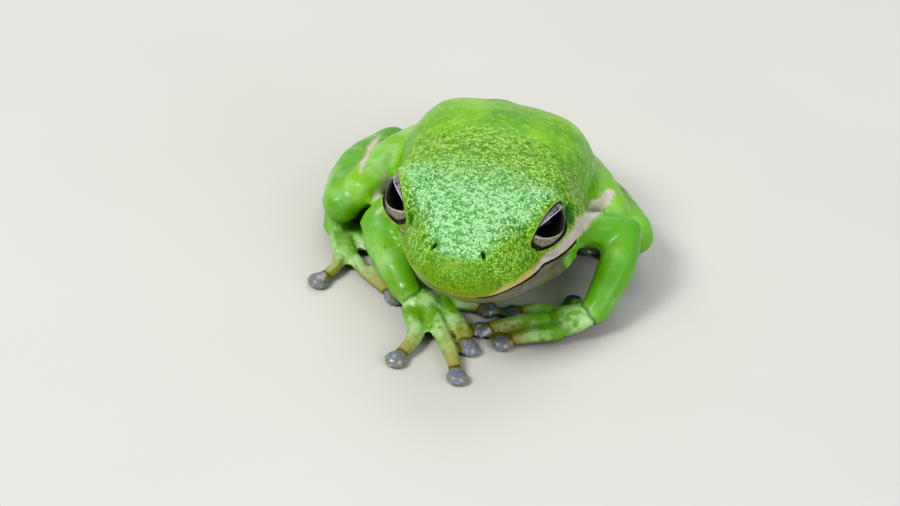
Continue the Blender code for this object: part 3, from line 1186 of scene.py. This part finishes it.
class Desk:
    """The nodes of one new material."""

    def __init__(self, name: str) -> None:
        """Makes the material.

        Args:
            name: Its name.
        """
        self.material = bpy.data.materials.new(name)
        self.material.use_nodes = True
        self.tree = self.material.node_tree
        self.tree.nodes.clear()

    def node(self, kind: str, settings: dict[str, object], inputs: dict[str | int, Feed]) -> bpy.types.Node:
        """Adds one node.

        Args:
            kind: Its type.
            settings: What is set on the node first.
            inputs: What goes into its inputs, by name or number.

        Returns:
            The node.
        """
        made = self.tree.nodes.new(kind)
        for name, value in settings.items():
            setattr(made, name, value)
        for name, value in inputs.items():
            socket = made.inputs[name]
            if isinstance(value, Value):
                self.tree.links.new(value.socket, socket)
            elif isinstance(value, tuple) and socket.type == "RGBA":
                socket.default_value = (*value, 1.0)
            else:
                socket.default_value = value
        return made

    def maths(self, operation: str, a: Feed, b: Feed) -> Value:
        """The answer of one sum."""
        return Value(self, self.node("ShaderNodeMath", {"operation": operation}, {0: a, 1: b}).outputs[0])

    def either(self, a: Value, b: Value) -> Value:
        """The larger of two values."""
        return self.maths("MAXIMUM", a, b)

    def mix(self, share: Feed, a: Feed, b: Feed) -> Value:
        """A colour that goes from a to b as share goes from 0 to 1."""
        node = self.node("ShaderNodeMix", {"data_type": "RGBA"}, {0: share, 6: a, 7: b})
        return Value(self, node.outputs[2])

    def kept(self, name: str) -> Value:
        """A number that the surface keeps."""
        return Value(self, self.node("ShaderNodeAttribute", {"attribute_name": name}, {}).outputs["Fac"])

    def place(self) -> Value:
        """The place on the piece."""
        return Value(self, self.node("ShaderNodeTexCoord", {}, {}).outputs["Object"])

    def cloud(self, size: float, detail: float = 2.0) -> Value:
        """Soft random blotches from 0 to 1.

        Args:
            size: How wide a blotch is, in millimetres.
            detail: How much finer mottling it has.

        Returns:
            The value.
        """
        inputs = {"Vector": self.place(), "Scale": 1.0 / (size * MM), "Detail": detail}
        return Value(self, self.node("ShaderNodeTexNoise", {}, inputs).outputs[0])

    def cells(self, size: float) -> Value:
        """The distance from the middles of random cells, which are size millimetres wide."""
        inputs = {"Vector": self.place(), "Scale": 1.0 / (size * MM)}
        return Value(self, self.node("ShaderNodeTexVoronoi", {}, inputs).outputs[0])

    def bump(self, height: Value, depth: float) -> Value:
        """A direction that makes a surface look as if height raised it by depth millimetres."""
        inputs = {"Strength": 1.0, "Distance": depth * MM, "Height": height}
        return Value(self, self.node("ShaderNodeBump", {}, inputs).outputs[0])

    def finish(self, inputs: dict[str, Feed]) -> bpy.types.Material:
        """Joins the values to the surface.

        Args:
            inputs: What goes into the surface's own inputs.

        Returns:
            The material.
        """
        surface = self.node("ShaderNodeBsdfPrincipled", {}, inputs)
        out = self.node("ShaderNodeOutputMaterial", {}, {})
        self.tree.links.new(surface.outputs[0], out.inputs["Surface"])
        return self.material


@dataclass(frozen=True)
class FrogSkin:
    """Moist leaf-green skin with a cream stripe, a pale underside and tan, glassy discs, with painted
    highlights, sheen and shade in its colour.
    """

    name: str = "moist_frog_skin"
    leaf: Colour = dye(88, 158, 28)
    lime: Colour = dye(136, 198, 44)
    olive: Colour = dye(116, 152, 8)
    sheen_milk: Colour = dye(190, 226, 164)
    fern: Colour = dye(94, 160, 58)
    moss: Colour = dye(38, 108, 20)
    pine: Colour = dye(24, 84, 30)
    highlight_mint: Colour = dye(222, 250, 216)
    sky_sheen_jade: Colour = dye(116, 196, 112)
    highlight_straw: Colour = dye(200, 242, 84)
    cream: Colour = dye(222, 212, 176)
    lilac: Colour = dye(180, 172, 184)
    shaded_lilac: Colour = dye(108, 100, 96)
    gold: Colour = dye(196, 168, 92)
    throat: Colour = dye(98, 98, 70)
    tan: Colour = dye(152, 140, 72)
    brown: Colour = dye(62, 44, 22)
    glass: Colour = dye(106, 116, 142)
    amber: Colour = dye(128, 104, 66)
    pearl: Colour = dye(232, 230, 242)
    dark: Colour = dye(14, 18, 8)

    def build(self) -> bpy.types.Material:
        """Makes the material.

        Returns:
            The material, for a surface that keeps its markings.
        """
        desk = Desk(self.name)
        ragged = desk.cloud(0.5, 3.0) - 0.5
        colour = desk.mix(desk.cloud(6.0).ease(0.35, 0.7), self.leaf, self.lime)
        colour = desk.mix(desk.cloud(1.2, 3.0).ease(0.52, 0.75) * 0.3, colour, self.moss)
        colour = self.limbs(desk, colour)
        colour = self.grained(desk, colour)
        colour = desk.mix(desk.kept("drum") * 0.9, colour, self.pine)
        colour = self.digits(desk, colour, ragged)
        colour = self.pale(desk, colour, ragged)
        colour = self.openings(desk, colour, ragged)
        disc = desk.kept("disc").ease(1.4, 1.0)
        wet = desk.cloud(1.1).ease(0.3, 0.8)
        pores = desk.cells(0.14) + desk.cloud(0.12, 1.0) * 0.6
        return desk.finish(
            {
                "Base Color": colour,
                "Roughness": 0.48 - wet * 0.14 - disc * 0.26,
                "IOR": 1.42,
                "Subsurface Weight": 0.1,
                "Subsurface Radius": (0.9, 1.0, 0.3),
                "Subsurface Scale": 0.5 * MM,
                "Coat Weight": desk.either(0.14 + wet * 0.26, disc),
                "Coat Roughness": 0.09,
                "Coat IOR": 1.48,
                "Normal": desk.bump(pores + desk.cloud(0.8, 3.0) * 5.0, 0.012),
            }
        )

    def limbs(self, desk: Desk, colour: Value) -> Value:
        """Gives the arms and legs a duller green, a painted milky sheen in soft patches and small dark
        marks.

        Args:
            desk: The material's nodes.
            colour: The colour so far.

        Returns:
            The colour with the limbs' own.
        """
        limb = 1.0 - desk.either(desk.kept("part_head"), desk.kept("part_trunk"))
        colour = desk.mix(limb * 0.6, colour, self.fern)
        colour = desk.mix(desk.kept("part_thigh") * 0.55, colour, self.lime)
        # painted sheen: soft milky patches laid over the limbs' green
        bloom = desk.cloud(2.6, 4.0).ease(0.45, 0.75) * 0.38
        colour = desk.mix(limb * bloom, colour, self.sheen_milk)
        marks = desk.cells(1.3).ease(0.16, 0.08) * desk.cloud(1.6).ease(0.5, 0.6)
        return desk.mix(limb * marks * 0.45, colour, self.moss)

    def grained(self, desk: Desk, colour: Value) -> Value:
        """Paints highlights on the granules' tops (straw-yellow, and mint on the crown), painted shade in
        the grooves between them, painted highlight flecks on the back and a painted bluish sky sheen over
        the crown; the tip and lips are a yellower olive.

        Args:
            desk: The material's nodes.
            colour: The colour so far.

        Returns:
            The colour with the granules' own.
        """
        grain, pebble, crown, lip = (desk.kept(name) for name in ("grain", "pebble", "crown", "lip"))
        streak = desk.cloud(0.46, 3.0)
        # painted highlights: straw-yellow flecks in streaks over the back, for light caught on its wet skin
        flecks = desk.kept("part_trunk") * streak.ease(0.48, 0.72)
        colour = desk.mix(flecks * 0.3, colour, self.highlight_straw)
        colour = desk.mix(grain * 0.4, colour, self.moss)
        colour = desk.mix(lip * 0.6, colour, self.olive)
        # painted reflection: a bluish-green sky sheen over the upward-facing crown
        colour = desk.mix(crown * 0.85, colour, self.sky_sheen_jade)
        # painted shade: the grooves between the granules, and dark streaks, darkened with moss
        grooves = desk.either(pebble.ease(0.17, 0.01), streak.ease(0.46, 0.34) * 0.75)
        # painted highlights: the granules' tops lightened with straw-yellow and, on the crown, mint
        tops = pebble.ease(0.05, 0.34) * (0.3 + streak.ease(0.42, 0.6) * 0.7) * (1.0 - lip * 0.8)
        colour = desk.mix(grain * tops * (0.66 - crown * 0.5), colour, self.highlight_straw)
        colour = desk.mix(grain * tops * (0.1 + crown * 0.66), colour, self.highlight_mint)
        return desk.mix(grain.ease(0.0, 0.7) * grooves * 0.9, colour, self.moss)

    def digits(self, desk: Desk, colour: Value, ragged: Value) -> Value:
        """Turns the green fingers and toes tan, with brown wrinkles across them and glassy discs, and paints
        a milky sheen on the hands and digits and white glints on the discs.

        Args:
            desk: The material's nodes.
            colour: The colour so far.
            ragged: Random numbers round 0 that roughen the edges.

        Returns:
            The colour with the digits' own.
        """
        along = desk.kept("along") + ragged * 0.3
        # painted sheen: milky patches on the hands and digits
        sheen = desk.either(desk.kept("part_hand"), along.ease(0.1, 0.4))
        sheen = sheen * desk.cloud(0.9, 3.0).ease(0.3, 0.55)
        colour = desk.mix(sheen * 0.7, colour, self.sheen_milk)
        colour = desk.mix(along.ease(0.35, 0.8) * 0.85, colour, self.tan)
        waves = desk.maths("SINE", desk.kept("along") * 60.0 + ragged * 14.0, 0.0)
        wrinkles = (waves * desk.cloud(0.5).ease(0.4, 0.6)).ease(0.7, 1.0)
        colour = desk.mix(along.ease(0.4, 0.7) * wrinkles * 0.4, colour, self.brown)
        disc = desk.kept("disc") + ragged * 0.3
        inner = desk.mix(desk.cloud(0.5, 3.0).ease(0.52, 0.66) * 0.8, self.glass, self.amber)
        colour = desk.mix(disc.ease(1.3, 1.0) * 0.9, colour, inner)
        colour = desk.mix(disc.hump(1.3, 0.22) * 0.8, colour, self.brown)
        # painted highlights: white glints on the discs
        glints = desk.either(desk.cells(0.5).ease(0.36, 0.22), desk.cloud(0.35, 2.0).ease(0.56, 0.66))
        return desk.mix(disc.ease(1.1, 0.8) * glints * 0.85, colour, self.pearl)

    def pale(self, desk: Desk, colour: Value, ragged: Value) -> Value:
        """Adds the pale underside, in throat and lilac tones darkened as painted shade, the cream stripe and
        patches and their golden rims.

        Args:
            desk: The material's nodes.
            colour: The colour so far.
            ragged: Random numbers round 0 that roughen the edges.

        Returns:
            The colour with the pale markings.
        """
        # the pale underside, in throat and lilac tones darkened as painted shade
        below = (desk.kept("pale") + ragged * 0.6).ease(-0.25, 0.45)
        colour = desk.mix(below, colour, desk.mix(desk.cloud(2.2).ease(0.35, 0.7), self.throat, self.shaded_lilac))
        colour = desk.mix(desk.kept("chin") * 0.6, colour, self.olive)
        bright = desk.mix(desk.cloud(1.2, 3.0), self.cream, self.lilac)
        bright = desk.mix(desk.kept("front") * 0.8, bright, self.gold)
        for name, rough, rim, soft in (
            ("stripe", 0.14, 0.8, 0.14),
            ("flank", 0.6, 0.3, 0.4),
            ("shank", 0.3, 0.3, 0.3),
        ):
            inside = desk.kept(name) + ragged * rough
            colour = desk.mix(inside.hump(0.0, 0.16) * rim, colour, self.gold)
            colour = desk.mix(inside.ease(0.09 - 0.5 * soft, 0.09 + 0.5 * soft), colour, bright)
        return colour

    def openings(self, desk: Desk, colour: Value, ragged: Value) -> Value:
        """Adds the lids' golden rims and paints shade into the creases, the mouth line, the nostrils and the
        skin behind the lids.

        Args:
            desk: The material's nodes.
            colour: The colour so far.
            ragged: Random numbers round 0 that roughen the edges.

        Returns:
            The colour with the painted shade.
        """
        lid = desk.kept("lid")
        colour = desk.mix((lid + ragged * 0.1).hump(-0.08, 0.08) * 0.4, colour, self.gold)
        # painted shade in the wrist and knuckle creases
        colour = desk.mix(desk.kept("crease") * 0.75, colour, self.moss)
        # painted shade, almost black, along the mouth line, in the nostrils and on the skin behind the lids
        shade = desk.either(desk.kept("mouth"), desk.either(desk.kept("nostril"), lid.ease(-0.05, 0.03)))
        return desk.mix(shade.ease(0.15, 0.75), colour, self.dark)


@dataclass(frozen=True)
class FrogEye:
    """A clear wet cornea over a grey-gold iris, which is crossed by a wide black pupil."""

    name: str = "frog_eye"
    pupil: tuple[float, float] = (2.1, 0.92)
    black: Colour = dye(3, 3, 4)
    lilac: Colour = dye(150, 141, 156)
    ash: Colour = dye(146, 142, 126)
    pearl: Colour = dye(206, 200, 206)
    ink: Colour = dye(28, 22, 34)

    def build(self) -> bpy.types.Material:
        """Makes the material.

        Returns:
            The material, for a piece whose own +x looks out of the eye and whose y runs along the pupil.
        """
        desk = Desk(self.name)
        parts = desk.node("ShaderNodeSeparateXYZ", {}, {0: desk.place()})
        across, up = (Value(desk, parts.outputs[i]) * (1.0 / MM) for i in (1, 2))
        wobble = (desk.cloud(0.7) - 0.5) * 0.1
        long, high = self.pupil
        squares = across * across * (1.0 / long**2) + up * up * (1.0 / high**2)
        oval = desk.maths("SQRT", squares, 0.0) + wobble
        veins = desk.cloud(0.3, 4.0).hump(0.5, 0.05)
        flecks = desk.cloud(0.5, 3.0).ease(0.52, 0.66)
        above = up.ease(-0.2, 0.5)
        colour = desk.mix(above, self.ash, self.lilac)
        colour = desk.mix(desk.either(veins * 0.7, above * flecks * 0.8), colour, self.ink)
        colour = desk.mix(oval.hump(1.08, 0.07) * 0.7, colour, self.pearl)
        colour = desk.mix(oval.ease(1.04, 0.98), colour, self.black)
        # painted shade: the eyeball blackened along the lid opening, where the lids overhang it
        colour = desk.mix((desk.kept("edge") + wobble).ease(0.14, 0.06), colour, self.black)
        return desk.finish(
            {
                "Base Color": colour,
                "Roughness": 0.3 + desk.cloud(0.5) * 0.1,
                "Specular IOR Level": 0.05,
                "Coat Weight": 0.35 + desk.cloud(2.0) * 0.1,
                "Coat Roughness": 0.02,
                "Coat IOR": 1.33,
            }
        )


@dataclass(frozen=True)
class PaleFloor:
    """Matt off-white board."""

    name: str = "pale_board"
    light: Colour = dye(214, 212, 206)
    shade: Colour = dye(204, 202, 196)

    def build(self) -> bpy.types.Material:
        """Makes the material.

        Returns:
            The material.
        """
        desk = Desk(self.name)
        colour = desk.mix(desk.cloud(30.0), self.light, self.shade)
        return desk.finish({"Base Color": colour, "Roughness": 0.75 + desk.cloud(12.0) * 0.1})


# ---------------------------------------------------------------- pieces


@dataclass
class Skin:
    """The one skin over all the flesh."""

    head: HeadFrame
    lids: Lids

    def build(self) -> bpy.types.Object:
        """Makes the skin and puts it in place of the solids of flesh.

        Returns:
            The piece.
        """
        surface = FinerSkin(self.head).build(Flesh(self.head).build())
        on_head = HeadSkin(self.head, surface)
        mouth = Mouth()
        self.lids.sculpt(on_head)
        mouth.sculpt(on_head)
        Nostrils().sculpt(on_head)
        Ears().sculpt(on_head)
        Markings(self.head, mouth).paint(surface)
        Creases().sculpt(surface)
        Grain(self.head).sculpt(surface)
        surface.points[:, 2] = np.maximum(surface.points[:, 2], 0.0)
        surface.points *= MM
        surface.store()
        surface.mesh.materials.clear()
        surface.mesh.materials.append(FrogSkin().build())
        surface.mesh.shade_smooth()
        piece = new_object("skin", surface.mesh)
        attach(piece, "root")
        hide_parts(*FLESH)
        LOG.info("skin: %d points, %d faces", len(surface.mesh.vertices), len(surface.mesh.polygons))
        return piece


@dataclass
class Eyeball:
    """One eyeball. Its own +x looks out of the eye, its z is up and its y runs along the pupil."""

    head: HeadFrame
    side: Side
    lids: Lids
    material: bpy.types.Material
    look: tuple[float, float, float] = (0.87, -0.39, 0.27)
    tilt: float = math.radians(9.0)
    across: int = 128
    up: int = 96

    def build(self) -> bpy.types.Object:
        """Makes the eyeball and puts it in place of its solid.

        Returns:
            The piece.
        """
        node = f"eye_{self.side.word}"
        own = self.directions()
        points, faces = ball_points(np.zeros(3), self.head.eye_radius, self.across, self.up)
        mesh = mesh_of(points * MM, faces)
        mesh.materials.append(self.material)
        mesh.shade_smooth()
        way = self.head.turned(unit(points) @ own.T) * self.side.flip
        Surface(mesh).keep("edge", self.lids.opening(way))
        piece = new_object(f"{self.side.word}_eyeball", mesh)
        piece.matrix_world = Matrix.Translation(middle_of(node) * MM) @ Matrix(own.tolist()).to_4x4()
        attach(piece, "root")
        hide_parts(node)
        LOG.info("%s: %d faces", piece.name, len(mesh.polygons))
        return piece

    def directions(self) -> Array:
        """Works out which way the eyeball is turned.

        Returns:
            Its own x, y and z as the columns of a matrix.
        """
        look = unit(np.array([self.look]))[0]
        level = unit(np.cross([0.0, 0.0, 1.0], look)[None])[0]
        up = np.cross(look, level) * math.cos(self.tilt) - level * math.sin(self.tilt)
        look, up = (self.head.turn @ (way * self.side.flip) for way in (look, up))
        return np.stack([look, np.cross(up, look), up], axis=1)


@dataclass(frozen=True)
class Lamp:
    """A soft square lamp that points at the frog. Lengths are in metres here."""

    name: str
    place: tuple[float, float, float]
    size: float
    power: float
    colour: Colour

    def build(self) -> None:
        """Hangs the lamp."""
        data = bpy.data.lights.new(self.name, "AREA")
        data.energy = self.power
        data.size = self.size
        data.color = self.colour
        lamp = bpy.data.objects.new(self.name, data)
        bpy.context.scene.collection.objects.link(lamp)
        lamp.location = self.place
        lamp.rotation_euler = (-Vector(self.place)).to_track_quat("-Z", "Y").to_euler()


@dataclass
class Studio:
    """A pale board, soft lamps and the camera."""

    head: HeadFrame
    board_half: float = 2.0
    lamps: tuple[Lamp, ...] = (
        Lamp("window", (-0.26, -0.26, 0.42), 0.20, 2.4, (1.0, 0.98, 0.95)),
        Lamp("fill", (0.42, -0.30, 0.30), 0.35, 1.2, (0.95, 0.97, 1.0)),
        Lamp("sky", (0.0, 0.36, 0.44), 0.36, 0.8, (0.97, 1.0, 0.97)),
    )
    room: Colour = (0.92, 0.96, 1.0)
    room_strength: float = 0.5
    azimuth: float = math.radians(8.0)
    height: float = math.radians(34.0)
    roll: float = math.radians(6.2)
    distance: float = 320.0
    lens: float = 151.04
    aside: float = 2.12
    below: float = 3.73

    def build(self) -> None:
        """Makes everything round the frog."""
        self.floor()
        for lamp in self.lamps:
            lamp.build()
        self.camera()
        self.surroundings()
        LOG.info("studio: floor, %d lamps, camera", len(self.lamps))

    def floor(self) -> None:
        """Lays the board that the frog sits on."""
        wide = self.board_half
        corners = [(-wide, -wide, 0), (wide, -wide, 0), (wide, wide, 0), (-wide, wide, 0)]
        mesh = bpy.data.meshes.new("board")
        mesh.from_pydata(corners, [], [(0, 1, 2, 3)])
        mesh.materials.append(PaleFloor().build())
        new_object("board", mesh)

    def camera(self) -> None:
        """Sets the camera in front of the frog, a little to its left and looking down on it."""
        turn, lift = self.azimuth, self.height
        level_right = Vector((math.cos(turn), math.sin(turn), 0.0))
        back = Vector((math.sin(turn) * math.cos(lift), -math.cos(turn) * math.cos(lift), math.sin(lift)))
        level_up = back.cross(level_right)
        right = math.cos(self.roll) * level_right + math.sin(self.roll) * level_up
        up = math.cos(self.roll) * level_up - math.sin(self.roll) * level_right
        aim = Vector(self.head.origin) - self.aside * right - self.below * up
        data = bpy.data.cameras.new("camera")
        data.lens = self.lens
        data.sensor_width = 36.0
        data.clip_start = 0.01
        camera = bpy.data.objects.new("camera", data)
        bpy.context.scene.collection.objects.link(camera)
        place = Matrix.Translation((aim + back * self.distance) * MM)
        camera.matrix_world = place @ Matrix((right, up, back)).transposed().to_4x4()
        bpy.context.scene.camera = camera

    def surroundings(self) -> None:
        """Lights the room evenly and faintly."""
        world = bpy.data.worlds.new("room")
        world.use_nodes = True
        back = world.node_tree.nodes["Background"]
        back.inputs["Color"].default_value = (*self.room, 1.0)
        back.inputs["Strength"].default_value = self.room_strength
        bpy.context.scene.world = world
        bpy.context.scene.view_settings.view_transform = "Khronos PBR Neutral"


def main() -> None:
    """Builds the frog's pieces in order, then the studio."""
    logging.basicConfig(level=logging.INFO, format="%(message)s")
    head = HeadFrame()
    lids = Lids(head)
    Skin(head, lids).build()
    clear = FrogEye().build()
    for side in Side:
        Eyeball(head, side, lids, clear).build()
    Studio(head).build()


if __name__ == "__main__":
    main()
